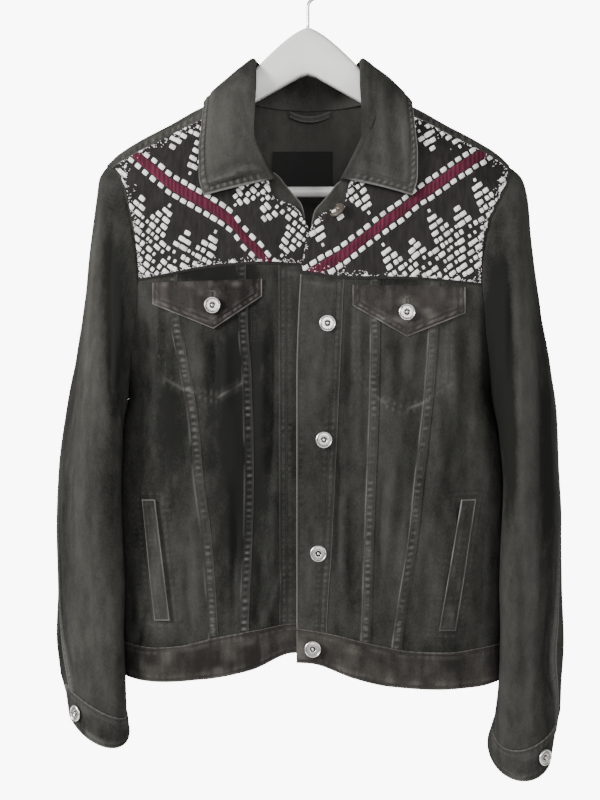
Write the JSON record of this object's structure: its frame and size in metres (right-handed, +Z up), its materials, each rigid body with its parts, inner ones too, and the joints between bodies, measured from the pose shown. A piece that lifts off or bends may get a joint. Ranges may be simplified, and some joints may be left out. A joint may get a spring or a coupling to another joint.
{
  "type": "denim jacket on a clothes hanger",
  "caption": "Black denim trucker jacket with a patterned woven yoke, point collar and buttoned front, hanging by the wire hook of a white wooden hanger.",
  "frame": {"origin": "top of the inside of the hanger's hook, where it rests on a rail", "axes": "+Z is up, the jacket's front faces -Y, and the wearer's right side is at -X"},
  "size_m": [0.5343, 0.12, 0.8463],
  "materials": {
    "black_denim": "washed twill",
    "woven_cloth": "coarse weave",
    "label_satin": "satin",
    "steel": "polished",
    "white_paint": "satin white paint"
  },
  "bodies": {
    "root": {"back_centre": "black_denim", "back_side_left": "black_denim", "back_side_right": "black_denim", "back_yoke": "black_denim", "button_cuff_left": "steel", "button_cuff_right": "steel", "button_flap_left": "steel", "button_flap_right": "steel", "button_front_1": "steel", "button_front_2": "steel", "button_front_3": "steel", "button_front_4": "steel", "button_front_5": "steel", "collar": "black_denim", "cuff_left": "black_denim", "cuff_right": "black_denim", "front_band_left": "black_denim", "front_band_right": "black_denim", "front_centre_left": "black_denim", "front_centre_right": "black_denim", "front_facing_left": "black_denim", "front_facing_right": "black_denim", "front_middle_left": "black_denim", "front_middle_right": "black_denim", "front_side_left": "black_denim", "front_side_right": "black_denim", "front_yoke_left": "woven_cloth", "front_yoke_right": "woven_cloth", "hanger_arms": "white_paint", "hanger_bar": "white_paint", "hanger_hook": "steel", "hanging_loop": "black_denim", "neck_label": "label_satin", "pocket_flap_left": "black_denim", "pocket_flap_right": "black_denim", "pocket_welt_left": "black_denim", "pocket_welt_right": "black_denim", "sleeve_top_left": "black_denim", "sleeve_top_right": "black_denim", "sleeve_under_left": "black_denim", "sleeve_under_right": "black_denim", "waistband": "black_denim"}
  },
  "joints": []
}
